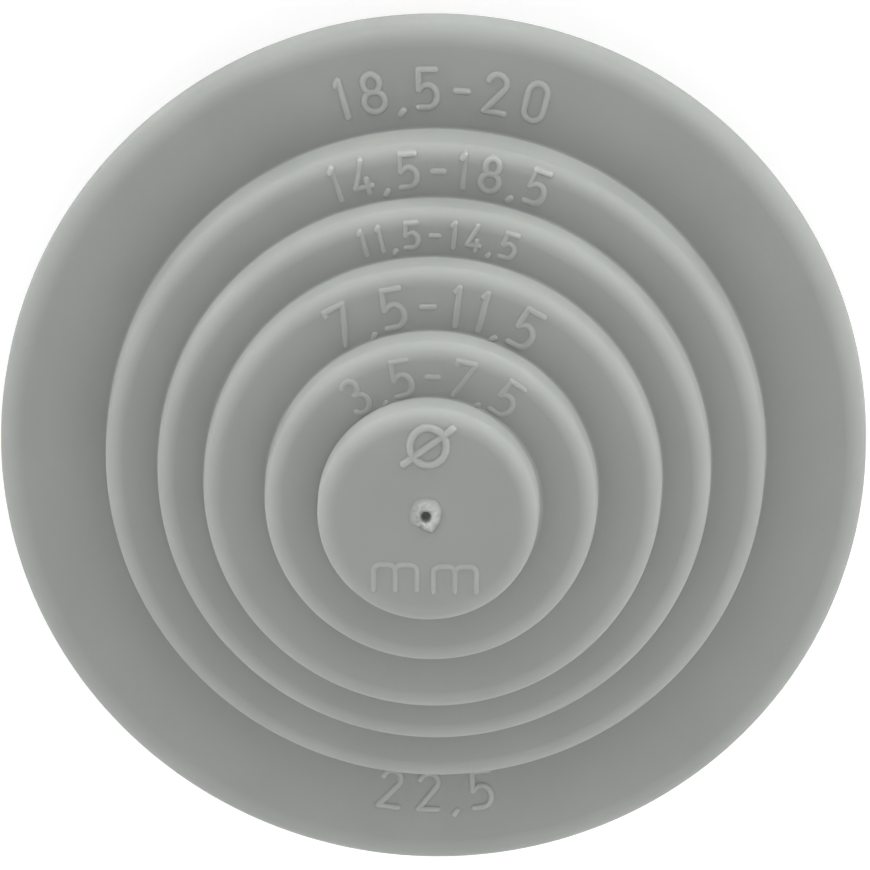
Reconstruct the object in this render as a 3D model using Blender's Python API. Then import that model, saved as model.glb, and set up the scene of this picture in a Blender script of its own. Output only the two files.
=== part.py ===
"""Stepped membrane grommet, moulded in one piece of soft grey plastic.

A round flange and a lip behind it grip the rim of a panel hole. In front of the flange five
steps narrow to a closed disc, and the cavity behind them follows step by step. The cap above
one step is cut away, and the bore left open seals on a cable of that size.

Metres, +Z up. The origin lies on the axis, in the plane of the lip's rear face, and the nose
points to +Z.
"""

import math

import bmesh
import bpy
from mathutils import Vector

NAME = "grommet"

# Flange in front of the panel
FLANGE_DIAMETER = 0.0291
FLANGE_THICKNESS = 0.0018
FLANGE_FRONT_RADIUS = 0.00072
FLANGE_REAR_RADIUS = 0.00025

# Groove that holds the panel's rim
GROOVE_DIAMETER = 0.0225
GROOVE_WIDTH = 0.0020
GROOVE_ROOT_RADIUS = 0.0002

# Lip behind the panel, with the slope that leads it through the hole
LIP_DIAMETER = 0.0255
LIP_THICKNESS = 0.0022
LIP_LEAD_IN = 0.0010
LIP_LEAD_HEIGHT = 0.0012
LIP_EDGE_RADIUS = 0.0003

# Steps, from the flange to the nose: the smallest cable that each bore seals on
BORE_DIAMETERS = (0.0184, 0.0148, 0.0116, 0.0074, 0.0037)
WALL = 0.0018
FIRST_RISE = 0.0021
RISE = 0.0016
TREAD_THICKNESS = 0.00125
MEMBRANE_THICKNESS = 0.00095
DRAFT_DEGREES = 1.0
STEP_EDGE_RADIUS = 0.00075
STEP_ROOT_RADIUS = 0.00008
BORE_ROOT_RADIUS = 0.0004
BORE_EDGE_RADIUS = 0.0002

# Mark that the mould's gate leaves at the centre of the nose
GATE_DIAMETER = 0.0011
GATE_HEIGHT = 0.00015
GATE_PIT_DIAMETER = 0.0004
GATE_PIT_DEPTH = 0.0005

# Facets
SEGMENTS = 60
EDGE_FACETS = 4
ROOT_FACETS = 2
BREAK_FACETS = 1
FILLET_SHARE = 0.48
SEAT_MARGIN = 0.00006
SHARP_DEGREES = 50

# Soft light grey plastic
COLOUR = (0.29, 0.31, 0.295, 1.0)
ROUGHNESS = 0.55

SLOPE = math.tan(math.radians(DRAFT_DEGREES))
LIP_FRONT = LIP_THICKNESS
FLANGE_REAR = LIP_FRONT + GROOVE_WIDTH
FLANGE_FRONT = FLANGE_REAR + FLANGE_THICKNESS


def step_heights():
    """The height of each step's front face, from the lowest step to the nose."""
    first = FLANGE_FRONT + FIRST_RISE
    return [first + RISE * step for step in range(len(BORE_DIAMETERS))]


def nose_corners():
    """The front face at the nose with the gate's ring and its blind pit, from the axis outwards."""
    nose = step_heights()[-1]
    pit = GATE_PIT_DIAMETER / 2
    ring = GATE_DIAMETER / 2
    return [
        (0, nose - GATE_PIT_DEPTH, 0, 0),
        (pit, nose - GATE_PIT_DEPTH, 0, 0),
        (pit, nose + GATE_HEIGHT, 0, 0),
        (ring, nose + GATE_HEIGHT, 0, 0),
        (ring, nose, 0, 0),
    ]


def step_corners():
    """The outside of the steps from the nose down: each one's front edge, then the foot of its wall."""
    heights = step_heights()
    feet = [FLANGE_FRONT, *heights[:-1]]
    corners = []
    for bore, top, foot in reversed(list(zip(BORE_DIAMETERS, heights, feet))):
        radius = bore / 2 + WALL
        corners.append((radius, top, STEP_EDGE_RADIUS, EDGE_FACETS))
        corners.append((radius + SLOPE * (top - foot), foot, STEP_ROOT_RADIUS, ROOT_FACETS))
    return corners


def rim_corners():
    """The flange, the groove for the panel and the lip, from front to rear."""
    flange = FLANGE_DIAMETER / 2
    lip = LIP_DIAMETER / 2
    groove = GROOVE_DIAMETER / 2
    return [
        (flange, FLANGE_FRONT, FLANGE_FRONT_RADIUS, EDGE_FACETS),
        (flange, FLANGE_REAR, FLANGE_REAR_RADIUS, ROOT_FACETS),
        (lip + SEAT_MARGIN, FLANGE_REAR, 0, 0),
        (groove, FLANGE_REAR, GROOVE_ROOT_RADIUS, ROOT_FACETS),
        (groove, LIP_FRONT, GROOVE_ROOT_RADIUS, ROOT_FACETS),
        (lip, LIP_FRONT, LIP_EDGE_RADIUS, ROOT_FACETS),
        (lip, LIP_LEAD_HEIGHT, LIP_EDGE_RADIUS, ROOT_FACETS),
        (lip - LIP_LEAD_IN, 0, LIP_EDGE_RADIUS, ROOT_FACETS),
    ]


def cavity_corners():
    """The stepped cavity from its mouth at the rear to the membrane at the nose."""
    radii = [bore / 2 for bore in BORE_DIAMETERS]
    heights = step_heights()
    ceilings = [height - TREAD_THICKNESS for height in heights[:-1]]
    ceilings.append(heights[-1] - MEMBRANE_THICKNESS)
    corners = []
    floor = 0
    for radius, ceiling in zip(radii, ceilings):
        corners.append((radius + SLOPE * (ceiling - floor), floor, BORE_EDGE_RADIUS, BREAK_FACETS))
        corners.append((radius, ceiling, BORE_ROOT_RADIUS, ROOT_FACETS))
        floor = ceiling
    corners.append((0, ceilings[-1], 0, 0))
    return corners


def fillet(before, corner, after, radius, facets):
    """The points of a round corner, no larger than its two sides leave room for."""
    back = before - corner
    ahead = after - corner
    half = back.angle(ahead) / 2
    room = FILLET_SHARE * min(back.length, ahead.length)
    reach = min(radius / math.tan(half), room)
    start = corner + back.normalized() * reach
    centre = corner + (back.normalized() + ahead.normalized()).normalized() * reach / math.cos(half)
    spoke = start - centre
    turn = math.pi - 2 * half
    if back.cross(ahead) > 0:
        turn = -turn
    points = []
    for facet in range(facets + 1):
        angle = turn * facet / facets
        cosine = math.cos(angle)
        sine = math.sin(angle)
        arm = Vector((spoke.x * cosine - spoke.y * sine, spoke.x * sine + spoke.y * cosine))
        points.append(centre + arm)
    return points


def section():
    """Half of the grommet's section as points (radius, height), from the nose round to the membrane."""
    corners = nose_corners() + step_corners() + rim_corners() + cavity_corners()
    places = [Vector((radius, height)) for radius, height, _, _ in corners]
    points = [places[0]]
    for index in range(1, len(corners) - 1):
        _, _, radius, facets = corners[index]
        if facets:
            points += fillet(places[index - 1], places[index], places[index + 1], radius, facets)
        else:
            points.append(places[index])
    points.append(places[-1])
    return points


def revolve(points):
    """A closed mesh made by turning the section once about the Z axis."""
    shape = bmesh.new()
    vertices = [shape.verts.new((point.x, 0, point.y)) for point in points]
    edges = [shape.edges.new(pair) for pair in zip(vertices, vertices[1:])]
    bmesh.ops.spin(
        shape,
        geom=vertices + edges,
        axis=(0, 0, 1),
        cent=(0, 0, 0),
        angle=2 * math.pi,
        steps=SEGMENTS,
        use_duplicate=False,
    )
    bmesh.ops.remove_doubles(shape, verts=shape.verts, dist=0.0000005)
    bmesh.ops.recalc_face_normals(shape, faces=shape.faces)
    mesh = bpy.data.meshes.new(NAME)
    shape.to_mesh(mesh)
    shape.free()
    return mesh


def soft_plastic():
    material = bpy.data.materials.new("soft_plastic")
    material.use_nodes = True
    shader = material.node_tree.nodes["Principled BSDF"]
    shader.inputs["Base Color"].default_value = COLOUR
    shader.inputs["Roughness"].default_value = ROUGHNESS
    shader.inputs["Metallic"].default_value = 0.0
    material.diffuse_color = COLOUR
    return material


def main():
    for leftover in list(bpy.data.objects):
        bpy.data.objects.remove(leftover, do_unlink=True)
    mesh = revolve(section())
    mesh.shade_smooth()
    mesh.set_sharp_from_angle(angle=math.radians(SHARP_DEGREES))
    mesh.materials.append(soft_plastic())
    bpy.context.scene.collection.objects.link(bpy.data.objects.new(NAME, mesh))


main()
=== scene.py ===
"""Looks of the stepped membrane grommet: soft grey plastic, raised numbers and the gate mark.

Metres, in the frame of the solids: +Z along the axis to the nose, +Y to 12 o'clock of the numbers.
A clock angle counts clockwise from 12 o'clock, seen from the nose.
"""

import math

import bmesh
import bpy
from mathutils import Matrix, Vector, noise


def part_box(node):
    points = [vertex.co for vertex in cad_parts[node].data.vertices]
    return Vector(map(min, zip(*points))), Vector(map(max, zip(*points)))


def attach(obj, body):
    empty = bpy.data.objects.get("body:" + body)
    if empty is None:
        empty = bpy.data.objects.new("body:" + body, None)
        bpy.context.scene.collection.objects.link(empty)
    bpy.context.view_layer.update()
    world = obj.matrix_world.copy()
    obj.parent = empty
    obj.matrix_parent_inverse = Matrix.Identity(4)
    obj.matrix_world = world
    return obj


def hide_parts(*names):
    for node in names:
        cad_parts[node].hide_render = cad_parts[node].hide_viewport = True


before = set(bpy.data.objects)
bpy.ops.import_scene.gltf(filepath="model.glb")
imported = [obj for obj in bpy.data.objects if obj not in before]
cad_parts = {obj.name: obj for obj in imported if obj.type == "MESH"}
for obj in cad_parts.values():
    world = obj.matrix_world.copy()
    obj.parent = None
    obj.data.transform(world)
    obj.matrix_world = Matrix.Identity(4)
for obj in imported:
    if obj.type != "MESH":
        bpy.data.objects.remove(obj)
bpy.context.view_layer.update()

MM = 0.001
NODE = "grommet"

# Section of the body, as in the solid
FLANGE_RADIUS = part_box(NODE)[1].x
FLANGE_THICKNESS = 1.8 * MM
FLANGE_FRONT_RADIUS = 0.72 * MM
FLANGE_REAR_RADIUS = 0.25 * MM
GROOVE_RADIUS = 11.25 * MM
GROOVE_WIDTH = 2.0 * MM
GROOVE_ROOT_RADIUS = 0.2 * MM
LIP_RADIUS = 12.75 * MM
LIP_THICKNESS = 2.2 * MM
LIP_LEAD_IN = 1.0 * MM
LIP_LEAD_HEIGHT = 1.2 * MM
LIP_EDGE_RADIUS = 0.3 * MM
BORE_RADII = [9.2 * MM, 7.4 * MM, 5.8 * MM, 3.7 * MM, 1.85 * MM]
WALL = 1.8 * MM
FIRST_RISE = 2.1 * MM
RISE = 1.6 * MM
TREAD_THICKNESS = 1.25 * MM
MEMBRANE_THICKNESS = 0.95 * MM
SLOPE = math.tan(math.radians(1.0))
STEP_EDGE_RADIUS = 0.57 * MM
STEP_ROOT_RADIUS = 0.08 * MM
BORE_ROOT_RADIUS = 0.4 * MM
BORE_EDGE_RADIUS = 0.2 * MM
FLANGE_REAR = LIP_THICKNESS + GROOVE_WIDTH
FLANGE_FRONT = FLANGE_REAR + FLANGE_THICKNESS

# Mesh of the body
SEGMENTS = 256
EDGE_FACETS = 8
ROOT_FACETS = 4
FILLET_SHARE = 0.48
SUPPORT = 0.03 * MM
LONG_RUN = 0.3 * MM
SHARP_ANGLE = math.radians(24)
# Points of the united mesh that lie nearer than this become one
MERGE_REACH = 0.00001 * MM

# How the soft part is bent out of true: shifts of the nose and the flange, and the flange's
# waves as (count, height, clock angle)
NOSE_SHIFT = Vector((-0.055, 0.01)) * MM
FLANGE_SHIFT = Vector((-0.11, -0.02)) * MM
FLANGE_WAVES = [(2, 0.046 * MM, 14.5), (3, 0.023 * MM, 21.0)]

# Torn mark of the mould's gate: a blind pit, and its ragged rim as (clock angle, radius, height)
GATE_CENTRE = Vector((-0.05, 0.05)) * MM
PIT_RADIUS = 0.16 * MM
PIT_DEPTH = 0.2 * MM
PIT_FLATNESS = 4
RIM_STEEPNESS = 0.6
RIM_RAGGEDNESS = 0.05 * MM
RIM_GRAIN = 0.12 * MM
RIM = [
    (-156, 0.40 * MM, 0.16 * MM),
    (-120, 0.56 * MM, 0.10 * MM),
    (-70, 0.56 * MM, 0.11 * MM),
    (-33, 0.62 * MM, 0.14 * MM),
    (39, 0.63 * MM, 0.19 * MM),
    (86, 0.50 * MM, 0.24 * MM),
    (135, 0.49 * MM, 0.28 * MM),
    (160, 0.60 * MM, 0.30 * MM),
]
# Rows of points under the gate mark
GATE_ROW = 0.03 * MM
GATE_REACH = 0.78 * MM

# Raised numbers: text, step (0 is the flange), radius of their centres, height, stroke width,
# relief, clock angle, and whether their tops face the axis
LABELS = [
    ("18,5-20", 0, 12.4 * MM, 1.46 * MM, 0.165 * MM, 0.063 * MM, 0.4, False),
    ("22,5", 0, 12.1 * MM, 1.4 * MM, 0.155 * MM, 0.058 * MM, 180.0, True),
    ("14,5-18,5", 1, 10.17 * MM, 1.285 * MM, 0.16 * MM, 0.051 * MM, 0.3, False),
    ("11,5-14,5", 2, 8.38 * MM, 0.98 * MM, 0.14 * MM, 0.045 * MM, 0.6, False),
    ("7,5-11,5", 3, 6.4 * MM, 1.47 * MM, 0.16 * MM, 0.046 * MM, 0.75, False),
    ("3,5-7,5", 4, 4.43 * MM, 1.33 * MM, 0.14 * MM, 0.034 * MM, 0.4, False),
]
# Width of each character and the gap between two, as shares of the height
WIDTHS = {
    ",": 0.04,
    "-": 0.36,
    "0": 0.62,
    "1": 0.29,
    "2": 0.62,
    "3": 0.61,
    "4": 0.54,
    "5": 0.62,
    "7": 0.54,
    "8": 0.59,
}
GAP = 0.3

# Signs on the nose: character, centre, height, stroke width and relief
SIGNS = [
    ("Ø", Vector((0.02, 2.44)) * MM, 1.48 * MM, 0.2 * MM, 0.077 * MM),
    ("m", Vector((-1.07, -2.08)) * MM, 1.0 * MM, 0.14 * MM, 0.038 * MM),
    ("m", Vector((0.91, -2.13)) * MM, 1.0 * MM, 0.14 * MM, 0.038 * MM),
]
# Cross-section of a raised stroke: share of its half width, and share of its relief
RIDGE = [(1.5, -0.6), (1.45, 0.0), (1.15, 0.35), (0.8, 0.8), (0.4, 1.0)]
# How much of a front edge's fall a stroke's top doesn't follow, and how much of its width counts
OVERHANG = 0.5
EDGE_SHARE = 0.95
# Facets of a stroke's round end, degrees per facet of an arc, and how near the ends of a closed
# stroke meet, as a share of its width
CAP_FACETS = 6
ARC_STEP = 15
CLOSED_SHARE = 0.01

# Wear and painted light: how high a mark is fully lightened, partly by wear and partly by a painted
# highlight, how clear of the walls it has to be, how much the front edges are lightened that way,
# and how far that lightening and the painted shade at the steps' feet reach
LIGHTENED_RELIEF = 0.12 * MM
WALL_MARGIN = 0.05 * MM
EDGE_WEAR_AND_HIGHLIGHT = 0.3
WEAR_AND_HIGHLIGHT_REACH = 0.5 * MM
PAINTED_FOOT_SHADE_REACH = 0.6 * MM

# Plastic: how deep light scatters in it, for red, green and blue, and the patterns in it, each as
# (scale, detail)
SCATTER_SHARES = (1.0, 0.95, 0.9)
SCATTER_DEPTH = 0.6 * MM
CLOUDS = (300, 4)
CLOUD_RANGE = (0.3, 0.7)
GRAIN = (9000, 3)
GRAIN_STRENGTH = 0.35
GRAIN_DEPTH = 0.01 * MM
DARK_GREY = (0.290, 0.305, 0.291)
LIGHT_GREY = (0.312, 0.327, 0.309)
# Lighter grey of worn marks and edges, which also paints a highlight on them
WORN_AND_HIGHLIT_GREY = (0.345, 0.36, 0.342)
# Darker grey painted as shade at the steps' feet, and how much of it is mixed in
PAINTED_FOOT_SHADE_GREY = (0.27, 0.275, 0.26)
PAINTED_FOOT_SHADE_SHARE = 0.3
ROUGHNESS_RANGE = (0.5, 0.66)

# Light: rows of soft light as (height on a unit sphere, half width, strength, lean to 3 and to
# 12 o'clock)
LIGHT_ROWS = [(0.0, 0.2, 5.9, 0.7, 5.2), (0.5, 0.3, 1.66, 0.1, 0.45), (0.8, 0.3, 1.15, 0.0, -1.05)]

# Floor: half its width, and how far below the lip it lies, so that no two faces share a plane
FLOOR_REACH = 0.6
FLOOR_GAP = 0.01 * MM
FLOOR_COLOUR = (0.85, 0.85, 0.85, 1)
FLOOR_ROUGHNESS = 0.9
# How much brighter the camera sees it, so that it is white
FLOOR_LIFT = 0.4
WHITE = (1, 1, 1, 1)

# Camera
TILT = math.radians(16.24)
LEAN = math.radians(5.65)
CAMERA_DISTANCE = 0.6
FRAME_WIDTH = 29.14 * MM
FRAME_PIXELS = 870
AXIS_PIXEL = Vector((436.4, 446.2))
SENSOR_WIDTH = 36.0
CLIP_RATIO = 10


def clock_direction(degrees):
    """The flat direction of a clock angle."""
    return Vector((math.sin(math.radians(degrees)), math.cos(math.radians(degrees))))


def step_heights():
    """The height of each step's front face, from the lowest step to the nose."""
    first = FLANGE_FRONT + FIRST_RISE
    return [first + RISE * step for step in range(len(BORE_RADII))]


def outer_corners():
    """The outside from the nose to the rear of the lip, as (radius, height, fillet, facets)."""
    heights = step_heights()
    feet = [FLANGE_FRONT, *heights[:-1]]
    rows = round(GATE_REACH / GATE_ROW)
    corners = [(GATE_ROW * row, heights[-1], 0, 0) for row in [0, *range(2, rows + 1)]]
    for bore, top, foot in reversed(list(zip(BORE_RADII, heights, feet))):
        wall = bore + WALL
        corners.append((wall, top, STEP_EDGE_RADIUS, EDGE_FACETS))
        corners.append((wall + SLOPE * (top - foot), foot, STEP_ROOT_RADIUS, ROOT_FACETS))
    return corners + [
        (FLANGE_RADIUS, FLANGE_FRONT, FLANGE_FRONT_RADIUS, EDGE_FACETS),
        (FLANGE_RADIUS, FLANGE_REAR, FLANGE_REAR_RADIUS, ROOT_FACETS),
        (GROOVE_RADIUS, FLANGE_REAR, GROOVE_ROOT_RADIUS, ROOT_FACETS),
        (GROOVE_RADIUS, LIP_THICKNESS, GROOVE_ROOT_RADIUS, ROOT_FACETS),
        (LIP_RADIUS, LIP_THICKNESS, LIP_EDGE_RADIUS, ROOT_FACETS),
        (LIP_RADIUS, LIP_LEAD_HEIGHT, LIP_EDGE_RADIUS, ROOT_FACETS),
        (LIP_RADIUS - LIP_LEAD_IN, 0, LIP_EDGE_RADIUS, ROOT_FACETS),
    ]


def cavity_corners():
    """The stepped cavity from its mouth to the membrane at the nose."""
    heights = step_heights()
    ceilings = [height - TREAD_THICKNESS for height in heights[:-1]]
    ceilings.append(heights[-1] - MEMBRANE_THICKNESS)
    corners = []
    floor = 0
    for bore, ceiling in zip(BORE_RADII, ceilings):
        corners.append((bore + SLOPE * (ceiling - floor), floor, BORE_EDGE_RADIUS, ROOT_FACETS))
        corners.append((bore, ceiling, BORE_ROOT_RADIUS, ROOT_FACETS))
        floor = ceiling
    corners.append((0, ceilings[-1], 0, 0))
    return corners


def fillet(before, corner, after, radius, facets):
    """The points of a round corner, no larger than its two sides leave room for."""
    back = before - corner
    ahead = after - corner
    half = back.angle(ahead) / 2
    room = FILLET_SHARE * min(back.length, ahead.length)
    reach = min(radius / math.tan(half), room)
    start = corner + back.normalized() * reach
    centre = corner + (back.normalized() + ahead.normalized()).normalized() * reach / math.cos(half)
    spoke = start - centre
    turn = math.pi - 2 * half
    if back.cross(ahead) > 0:
        turn = -turn
    angles = [turn * facet / facets for facet in range(facets + 1)]
    return [centre + Matrix.Rotation(angle, 2) @ spoke for angle in angles]


def supported(points):
    """The outline with two more points on each long straight run, so that it is shaded flat."""
    result = [points[0]]
    for start, end in zip(points, points[1:]):
        run = end - start
        if run.length > LONG_RUN:
            step = run.normalized() * SUPPORT
            result += [start + step, end - step]
        result.append(end)
    return result


def section():
    """Half of the section as points (radius, height), from the nose round to the membrane."""
    corners = outer_corners() + cavity_corners()
    places = [Vector((radius, height)) for radius, height, _, _ in corners]
    points = [places[0]]
    for index in range(1, len(corners) - 1):
        radius, facets = corners[index][2:]
        if facets:
            points += fillet(places[index - 1], places[index], places[index + 1], radius, facets)
        else:
            points.append(places[index])
    points.append(places[-1])
    return supported(points)


def revolve(points):
    """A closed mesh: the section, whose two ends lie on the Z axis, turned once about it."""
    turns = [clock_direction(360 * step / SEGMENTS) for step in range(SEGMENTS)]
    rings = [(*(turn * point.x), point.y) for point in points[1:-1] for turn in turns]
    places = [(0, 0, points[0].y), *rings, (0, 0, points[-1].y)]
    last = len(rings) + 1
    faces = []
    for step in range(SEGMENTS):
        after = (step + 1) % SEGMENTS
        faces.append((0, 1 + after, 1 + step))
        faces.append((last, last - SEGMENTS + step, last - SEGMENTS + after))
        for ring in range(1, last - SEGMENTS, SEGMENTS):
            beyond = ring + SEGMENTS
            faces.append((ring + step, ring + after, beyond + after, beyond + step))
    mesh = bpy.data.meshes.new("moulded_body")
    mesh.from_pydata(places, [], faces)
    return mesh


def rim_at(degrees):
    """The outer radius of the gate mark's rim and its height, at a clock angle."""
    corners = [Vector(corner) for corner in RIM]
    turn = Vector((360, 0, 0))
    corners = [corners[-1] - turn, *corners, corners[0] + turn]
    ahead = min(index for index, corner in enumerate(corners) if corner.x >= degrees)
    before = corners[ahead - 1]
    after = corners[ahead]
    return before.lerp(after, (degrees - before.x) / (after.x - before.x)).yz


def gate_height(radius, degrees):
    """How far the gate mark stands above the nose, or below it in the pit."""
    if radius < PIT_RADIUS:
        return PIT_DEPTH * ((radius / PIT_RADIUS) ** PIT_FLATNESS - 1)
    reach, height = rim_at(degrees)
    across = (radius - PIT_RADIUS) / (reach - PIT_RADIUS)
    if across >= 1:
        return 0.0
    ragged = noise.noise(clock_direction(degrees).to_3d() * radius / RIM_GRAIN)
    return (height + RIM_RAGGEDNESS * ragged) * math.sin(math.pi * across ** RIM_STEEPNESS)


def press_gate_mark(mesh):
    """Moves the centre of the nose into the torn rim and pit that the gate leaves."""
    nose = step_heights()[-1]
    for vertex in mesh.vertices:
        if vertex.co.xy.length < GATE_REACH and vertex.co.z > nose - MEMBRANE_THICKNESS / 2:
            flat = vertex.co.xy - GATE_CENTRE
            vertex.co.z += gate_height(flat.length, math.degrees(math.atan2(flat.x, flat.y)))


def bend(mesh):
    """Shifts the nose and the flange's rim a little off the axis, and gives the rim low waves."""
    foot = BORE_RADII[0] + WALL
    last_foot = BORE_RADII[-1] + WALL + STEP_ROOT_RADIUS
    last_tread = step_heights()[-2]
    for vertex in mesh.vertices:
        flat = vertex.co.xy
        if vertex.co.z > last_tread and flat.length < last_foot:
            share = min((vertex.co.z - last_tread) / STEP_ROOT_RADIUS, 1)
            vertex.co.xy = flat + NOSE_SHIFT * share
        elif vertex.co.z > FLANGE_REAR - SUPPORT and flat.length > foot:
            share = min((flat.length - foot) / (FLANGE_RADIUS - foot), 1)
            clock = math.atan2(flat.x, flat.y)
            wave = sum(
                height * math.cos(count * (clock - math.radians(crest)))
                for count, height, crest in FLANGE_WAVES
            )
            vertex.co.xy = flat + (FLANGE_SHIFT + flat.normalized() * wave) * share ** 2


def raised_by(radius, height):
    """How far a place stands above the flange or step that it lies over, clear of the walls."""
    walls = [FLANGE_RADIUS, *(bore + WALL for bore in BORE_RADII), 0]
    for step, (outer, inner) in enumerate(zip(walls, walls[1:])):
        if inner + WALL_MARGIN < radius < outer:
            return height - tread_height(step, radius)
    return 0.0


def mark_wear_highlight_and_shade(mesh):
    """Writes how much the raised marks and front edges are lightened, by wear and a painted
    highlight, and how much painted shade the steps' feet get.
    """
    heights = step_heights()
    walls = [bore + WALL for bore in BORE_RADII]
    edges = [(FLANGE_RADIUS, FLANGE_FRONT), *zip(walls, heights)]
    feet = list(zip(walls, [FLANGE_FRONT, *heights]))
    worn_and_highlit = mesh.attributes.new("worn_and_highlit", "FLOAT", "POINT").data
    painted_foot_shade = mesh.attributes.new("painted_foot_shade", "FLOAT", "POINT").data
    for index, vertex in enumerate(mesh.vertices):
        place = Vector((vertex.co.xy.length, vertex.co.z))
        to_edge = min((place - Vector(edge)).length for edge in edges)
        below = [foot for foot in feet if place.y < foot[1] + WALL_MARGIN]
        to_foot = min(((place - Vector(foot)).length for foot in below), default=1)
        # Raised marks and front edges are painted lighter: partly wear, partly a painted highlight
        on_mark = raised_by(*place) / LIGHTENED_RELIEF
        on_edge = EDGE_WEAR_AND_HIGHLIGHT * (WEAR_AND_HIGHLIGHT_REACH - to_edge) / WEAR_AND_HIGHLIGHT_REACH
        worn_and_highlit[index].value = min(max(on_mark, on_edge, 0), 1)
        # Painted shade: darker towards the feet of the steps, where shade falls
        painted_foot_shade[index].value = max(1 - to_foot / PAINTED_FOOT_SHADE_REACH, 0)


def arc(x, y, across, up, start, end):
    """Points along part of an ellipse, between two angles in degrees anticlockwise from +x."""
    count = math.ceil(abs(end - start) / ARC_STEP)
    angles = [math.radians(start + (end - start) * index / count) for index in range(count + 1)]
    return [Vector((x + across * math.cos(angle), y + up * math.sin(angle))) for angle in angles]


def line(*points):
    return [Vector(point) for point in points]


def strokes_of(character):
    """The centre lines of a character, 1 high, centred on x = 0. A closed one meets its start."""
    arch = arc(-0.58, 0.75, 0.25, 0.25, 180, 90) + arc(-0.25, 0.75, 0.25, 0.25, 90, 0)
    strokes = {
        "0": [
            arc(0, 0.73, 0.25, 0.27, 0, 180)
            + arc(0, 0.27, 0.25, 0.27, 180, 360)
            + line((0.25, 0.73))
        ],
        "1": [line((0.05, 0), (0.05, 1)), line((0.05, 1), (-0.04, 0.88))],
        "2": [arc(0, 0.76, 0.24, 0.24, 165, -35) + line((-0.26, 0)), line((-0.26, 0), (0.26, 0))],
        "3": [arc(0, 0.775, 0.21, 0.225, 150, -90), arc(0, 0.275, 0.26, 0.275, 90, -150)],
        "4": [
            line((0.08, 1), (-0.24, 0.2)),
            line((-0.24, 0.2), (0.24, 0.2)),
            line((0.12, 0.42), (0.12, 0)),
        ],
        "5": [
            line((0.24, 1), (-0.20, 1)),
            line((-0.20, 1), (-0.23, 0.48)),
            arc(0, 0.30, 0.25, 0.30, 145, -90) + line((-0.24, 0)),
        ],
        "7": [
            line((-0.26, 0.90), (-0.26, 1)),
            line((-0.26, 1), (0.26, 1)),
            line((0.26, 1), (-0.15, 0)),
        ],
        "8": [arc(0, 0.76, 0.21, 0.24, 0, 360), arc(0, 0.27, 0.27, 0.27, 0, 360)],
        "-": [line((-0.16, 0.45), (0.16, 0.45))],
        ",": [line((0.04, -0.05), (-0.04, -0.15))],
        "Ø": [arc(0, 0.5, 0.47, 0.5, 0, 360), line((-0.635, 0.02), (0.635, 0.98))],
        "m": [
            line((-0.83, 0)) + arch + line((0, 0)),
            [point + Vector((0.83, 0)) for point in arch] + line((0.83, 0)),
        ],
    }
    return strokes[character]


def sideways(path, index, closed):
    """The direction square to the path at one of its points, longer where the path bends."""
    count = len(path)
    if closed:
        before = path[index] - path[(index - 1) % count]
        after = path[(index + 1) % count] - path[index]
    else:
        before = path[index] - path[index - 1] if index else path[1] - path[0]
        after = path[index + 1] - path[index] if index < count - 1 else before
    ahead = (before.normalized() + after.normalized()).normalized()
    return Vector((-ahead.y, ahead.x)) / ahead.dot(after.normalized())


def round_end(point, side):
    """The points round a stroke's end, between the side given and the other."""
    turns = [-math.pi * facet / CAP_FACETS for facet in range(1, CAP_FACETS)]
    return [point + Matrix.Rotation(turn, 2) @ side for turn in turns]


def stroke_loops(path, closed, half):
    """The edges of a stroke this wide: one loop round an open path, or two beside a closed one."""
    sides = [sideways(path, index, closed) * half for index in range(len(path))]
    left = [point + side for point, side in zip(path, sides)]
    right = [point - side for point, side in zip(path, sides)]
    if closed:
        return [left, right]
    return [left + round_end(path[-1], sides[-1]) + right[::-1] + round_end(path[0], -sides[0])]


def skin(shape, rows, joined):
    """Faces between each row of points and the next; the two ends are joined or capped."""
    grid = [[shape.verts.new(point) for point in row] for row in rows]
    pairs = list(zip(grid, grid[1:]))
    if joined:
        pairs.append((grid[-1], grid[0]))
    else:
        shape.faces.new(grid[0])
        shape.faces.new(grid[-1])
    for low, high in pairs:
        for index in range(len(low)):
            after = (index + 1) % len(low)
            shape.faces.new((low[index], low[after], high[after], high[index]))


def tread_height(step, radius):
    """The height of the flange or a step's front face, which falls away round its front edge."""
    if step:
        top = step_heights()[step - 1]
        wall = BORE_RADII[step - 1] + WALL
        edge = STEP_EDGE_RADIUS
    else:
        top = FLANGE_FRONT
        wall = FLANGE_RADIUS
        edge = FLANGE_FRONT_RADIUS
    past = min(max(radius - (wall - edge), 0), EDGE_SHARE * edge)
    return top - edge + math.sqrt(edge ** 2 - past ** 2)


def ridge_height(step, radius, relief, lift):
    """The height of a stroke's surface, at a share of its relief; it falls less than the edge."""
    ground = tread_height(step, radius)
    fall = tread_height(step, 0) - ground
    return ground + lift * (relief + OVERHANG * fall)


def raise_stroke(shape, path, width, relief, place, step):
    """Adds one stroke as a low rounded ridge; place turns the character's points into places."""
    closed = (path[0] - path[-1]).length < CLOSED_SHARE * width
    if closed:
        path = path[:-1]
    rows = []
    inner_rows = []
    for share, lift in RIDGE:
        lifted = []
        for loop in stroke_loops(path, closed, width / 2 * share):
            spots = [place(point) for point in loop]
            heights = [ridge_height(step, spot.length, relief, lift) for spot in spots]
            lifted.append([Vector((*spot, height)) for spot, height in zip(spots, heights)])
        rows.append(lifted[0])
        inner_rows.append(lifted[-1])
    if closed:
        rows += inner_rows[::-1]
    skin(shape, rows, closed)


def stamp(shapes, character, centre, up, height, width, relief, step):
    """Adds a character's strokes, each to the next of the shapes, so that no shape meets itself."""
    right = Vector((up.y, -up.x))
    size = height - width

    def place(point):
        return centre + right * point.x + up * (point.y - size / 2)

    for shape, path in zip(shapes, strokes_of(character)):
        raise_stroke(shape, [point * size for point in path], width, relief, place, step)


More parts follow.
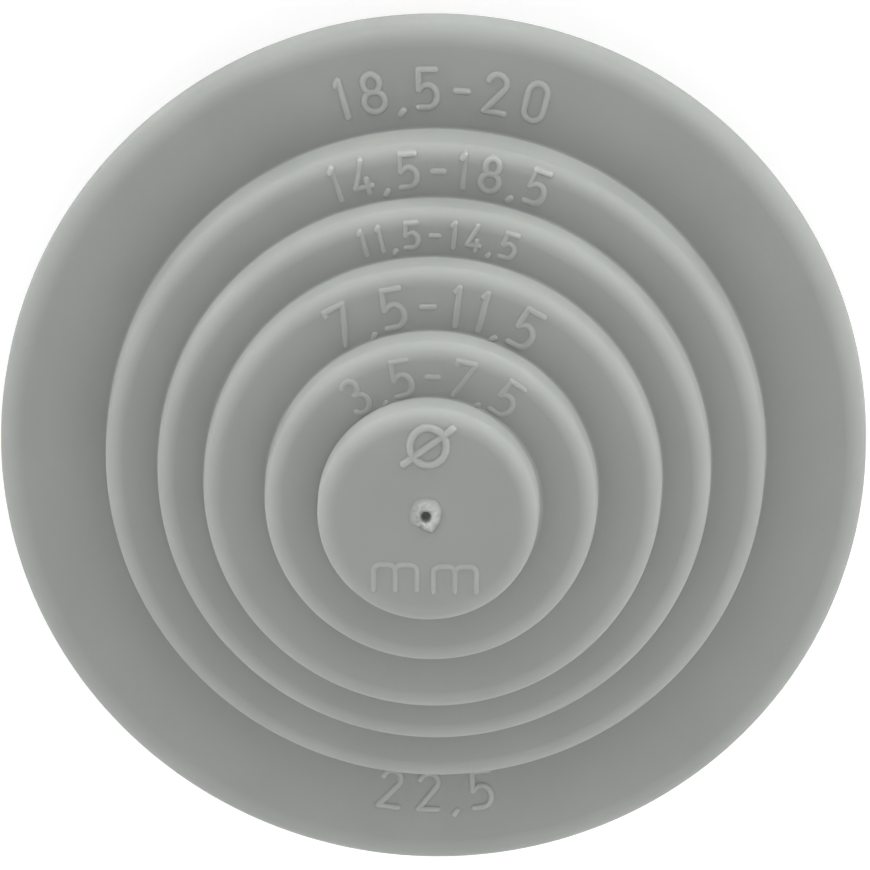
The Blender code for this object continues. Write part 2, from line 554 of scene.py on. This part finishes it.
def stamp_label(shapes, text, step, radius, height, width, relief, degrees, inward):
    """Adds a row of characters round the axis."""
    facing = -1 if inward else 1
    places = [0.0]
    for one, other in zip(text, text[1:]):
        places.append(places[-1] + ((WIDTHS[one] + WIDTHS[other]) / 2 + GAP) * height)
    for character, place in zip(text, places):
        turn = math.degrees((place - places[-1] / 2) / radius)
        outward = clock_direction(degrees + turn * facing)
        stamp(shapes, character, outward * radius, outward * facing, height, width, relief, step)


def raised_marks():
    """Three meshes with all raised strokes; the strokes of one mesh don't touch each other."""
    shapes = [bmesh.new() for _ in range(3)]
    for label in LABELS:
        stamp_label(shapes, *label)
    for character, centre, height, width, relief in SIGNS:
        stamp(shapes, character, centre, Vector((0, 1)), height, width, relief, len(BORE_RADII))
    meshes = []
    for shape in shapes:
        bmesh.ops.recalc_face_normals(shape, faces=shape.faces)
        meshes.append(bpy.data.meshes.new("raised_marks"))
        shape.to_mesh(meshes[-1])
        shape.free()
    return meshes


def united(mesh, others):
    """One closed mesh of the body and the marks, without points that nearly meet."""
    pieces = [bpy.data.objects.new(part.name, part) for part in [mesh, *others]]
    body = pieces[0]
    for piece in pieces:
        bpy.context.scene.collection.objects.link(piece)
        if piece != body:
            union = body.modifiers.new(piece.name, "BOOLEAN")
            union.operation = "UNION"
            union.solver = "MANIFOLD"
            union.object = piece
    graph = bpy.context.evaluated_depsgraph_get()
    result = bpy.data.meshes.new_from_object(body.evaluated_get(graph))
    for piece in pieces:
        bpy.data.objects.remove(piece)
    shape = bmesh.new()
    shape.from_mesh(result)
    bmesh.ops.remove_doubles(shape, verts=shape.verts, dist=MERGE_REACH)
    shape.to_mesh(result)
    shape.free()
    return result


def calculate(tree, operation, first, second=0.0):
    """The output of one Math node, whose inputs are numbers or other nodes' outputs."""
    node = tree.nodes.new("ShaderNodeMath")
    node.operation = operation
    for socket, value in zip(node.inputs, (first, second)):
        if isinstance(value, bpy.types.NodeSocket):
            tree.links.new(value, socket)
        else:
            socket.default_value = value
    return node.outputs[0]


def texture(tree, coordinates, scale, detail):
    """The value of a noise texture in the object's own coordinates."""
    node = tree.nodes.new("ShaderNodeTexNoise")
    node.inputs["Scale"].default_value = scale
    node.inputs["Detail"].default_value = detail
    tree.links.new(coordinates, node.inputs["Vector"])
    return node.outputs["Fac"]


def remap(tree, value, old, new):
    """A value brought from one range to another, each given as its two ends."""
    node = tree.nodes.new("ShaderNodeMapRange")
    node.inputs["From Min"].default_value, node.inputs["From Max"].default_value = old
    node.inputs["To Min"].default_value, node.inputs["To Max"].default_value = new
    tree.links.new(value, node.inputs["Value"])
    return node.outputs["Result"]


def blend(tree, factor, first, second):
    """A mix of two colours, each a colour or another node's output."""
    node = tree.nodes.new("ShaderNodeMix")
    node.data_type = "RGBA"
    tree.links.new(factor, node.inputs["Factor"])
    for name, colour in (("A", first), ("B", second)):
        socket = [entry for entry in node.inputs if entry.name == name and entry.type == "RGBA"][0]
        if isinstance(colour, bpy.types.NodeSocket):
            tree.links.new(colour, socket)
        else:
            socket.default_value = (*colour, 1)
    return [output for output in node.outputs if output.type == "RGBA"][0]


def stored(tree, name):
    """The value that the mesh stores under this name."""
    node = tree.nodes.new("ShaderNodeAttribute")
    node.attribute_name = name
    return node.outputs["Fac"]


def plastic():
    """Soft matt plastic with a fine grain and faint clouds, lighter on marks and edges from wear
    and a painted highlight, with painted shade at the steps' feet.
    """
    material = bpy.data.materials.new("soft_grey_plastic")
    material.use_nodes = True
    tree = material.node_tree
    shader = tree.nodes["Principled BSDF"]
    shader.inputs["Subsurface Weight"].default_value = 1.0
    shader.inputs["Subsurface Radius"].default_value = SCATTER_SHARES
    shader.inputs["Subsurface Scale"].default_value = SCATTER_DEPTH
    coordinates = tree.nodes.new("ShaderNodeTexCoord").outputs["Object"]
    clouds = texture(tree, coordinates, *CLOUDS)
    grain = texture(tree, coordinates, *GRAIN)
    # Painted shade at the steps' feet
    painted_foot_shade = remap(tree, stored(tree, "painted_foot_shade"), (0, 1), (0, PAINTED_FOOT_SHADE_SHARE))
    cloudy = remap(tree, clouds, CLOUD_RANGE, (0, 1))
    base = blend(tree, cloudy, DARK_GREY, LIGHT_GREY)
    # Lighter on raised marks and front edges: wear and a painted highlight
    base = blend(tree, stored(tree, "worn_and_highlit"), base, WORN_AND_HIGHLIT_GREY)
    tree.links.new(blend(tree, painted_foot_shade, base, PAINTED_FOOT_SHADE_GREY), shader.inputs["Base Color"])
    roughness = remap(tree, clouds, CLOUD_RANGE, ROUGHNESS_RANGE)
    tree.links.new(roughness, shader.inputs["Roughness"])
    bump = tree.nodes.new("ShaderNodeBump")
    bump.inputs["Strength"].default_value = GRAIN_STRENGTH
    bump.inputs["Distance"].default_value = GRAIN_DEPTH
    tree.links.new(grain, bump.inputs["Height"])
    tree.links.new(bump.outputs["Normal"], shader.inputs["Normal"])
    return material


def make_body():
    """The grommet in one piece, in place of its plain solid."""
    mesh = revolve(section())
    press_gate_mark(mesh)
    mesh = united(mesh, raised_marks())
    mark_wear_highlight_and_shade(mesh)
    bend(mesh)
    mesh.name = "moulded_body"
    mesh.shade_smooth()
    mesh.set_sharp_from_angle(angle=SHARP_ANGLE)
    mesh.materials.clear()
    mesh.materials.append(plastic())
    body = bpy.data.objects.new("moulded_body", mesh)
    bpy.context.scene.collection.objects.link(body)
    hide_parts(NODE)
    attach(body, "root")


def make_floor():
    """A white floor, which takes the object's shadow."""
    mesh = bpy.data.meshes.new("floor")
    corners = [(-1, -1), (1, -1), (1, 1), (-1, 1)]
    places = [(FLOOR_REACH * x, FLOOR_REACH * y, -FLOOR_GAP) for x, y in corners]
    mesh.from_pydata(places, [], [(0, 1, 2, 3)])
    floor = bpy.data.objects.new("floor", mesh)
    bpy.context.scene.collection.objects.link(floor)
    material = bpy.data.materials.new("white_floor")
    material.use_nodes = True
    nodes = material.node_tree.nodes
    shader = nodes["Principled BSDF"]
    shader.inputs["Base Color"].default_value = FLOOR_COLOUR
    shader.inputs["Roughness"].default_value = FLOOR_ROUGHNESS
    shader.inputs["Specular IOR Level"].default_value = 0.0
    shader.inputs["Emission Color"].default_value = WHITE
    seen = nodes.new("ShaderNodeLightPath").outputs["Is Camera Ray"]
    lift = calculate(material.node_tree, "MULTIPLY", seen, FLOOR_LIFT)
    material.node_tree.links.new(lift, shader.inputs["Emission Strength"])
    mesh.materials.append(material)


def make_studio():
    """Soft light in rows from the horizon up, which is strongest low down at 12 o'clock."""
    world = bpy.data.worlds.new("studio")
    bpy.context.scene.world = world
    world.use_nodes = True
    tree = world.node_tree
    direction = tree.nodes.new("ShaderNodeTexCoord").outputs["Generated"]
    split = tree.nodes.new("ShaderNodeSeparateXYZ")
    tree.links.new(direction, split.inputs[0])
    total = 0.0
    for height, reach, strength, right, up in LIGHT_ROWS:
        away = calculate(tree, "ABSOLUTE", calculate(tree, "SUBTRACT", split.outputs["Z"], height))
        fade = calculate(tree, "DIVIDE", away, reach)
        share = calculate(tree, "MAXIMUM", calculate(tree, "SUBTRACT", 1.0, fade), 0.0)
        lean = tree.nodes.new("ShaderNodeVectorMath")
        lean.operation = "DOT_PRODUCT"
        lean.inputs[1].default_value = (right, up, 0)
        tree.links.new(direction, lean.inputs[0])
        glow = calculate(tree, "ADD", lean.outputs["Value"], strength)
        total = calculate(tree, "ADD", total, calculate(tree, "MULTIPLY", share, glow))
    seen = tree.nodes.new("ShaderNodeLightPath").outputs["Is Camera Ray"]
    hidden = calculate(tree, "MULTIPLY", total, calculate(tree, "SUBTRACT", 1.0, seen))
    background = tree.nodes["Background"]
    background.inputs["Color"].default_value = WHITE
    tree.links.new(calculate(tree, "ADD", hidden, seen), background.inputs["Strength"])


def make_camera():
    """A long lens above the nose, leaning to 12 o'clock and a little to the right."""
    back = Vector(
        (math.sin(LEAN) * math.sin(TILT), math.cos(LEAN) * math.sin(TILT), math.cos(TILT))
    )
    up = Vector((0, 1, 0))
    up = (up - back * up.dot(back)).normalized()
    right = up.cross(back)
    pixel = FRAME_WIDTH / FRAME_PIXELS
    offset = (AXIS_PIXEL - Vector((FRAME_PIXELS / 2, FRAME_PIXELS / 2))) * pixel
    target = Vector((0, 0, FLANGE_FRONT)) - right * offset.x + up * offset.y
    data = bpy.data.cameras.new("camera")
    data.sensor_width = SENSOR_WIDTH
    data.lens = SENSOR_WIDTH * CAMERA_DISTANCE / FRAME_WIDTH
    data.clip_start = CAMERA_DISTANCE / CLIP_RATIO
    data.clip_end = CAMERA_DISTANCE * CLIP_RATIO
    camera = bpy.data.objects.new("camera", data)
    camera.matrix_world = Matrix.Translation(target + back * CAMERA_DISTANCE) @ Matrix(
        (right, up, back)
    ).transposed().to_4x4()
    bpy.context.scene.collection.objects.link(camera)
    bpy.context.scene.camera = camera


make_camera()
make_floor()
make_studio()
make_body()
bpy.context.scene.view_settings.view_transform = "Standard"
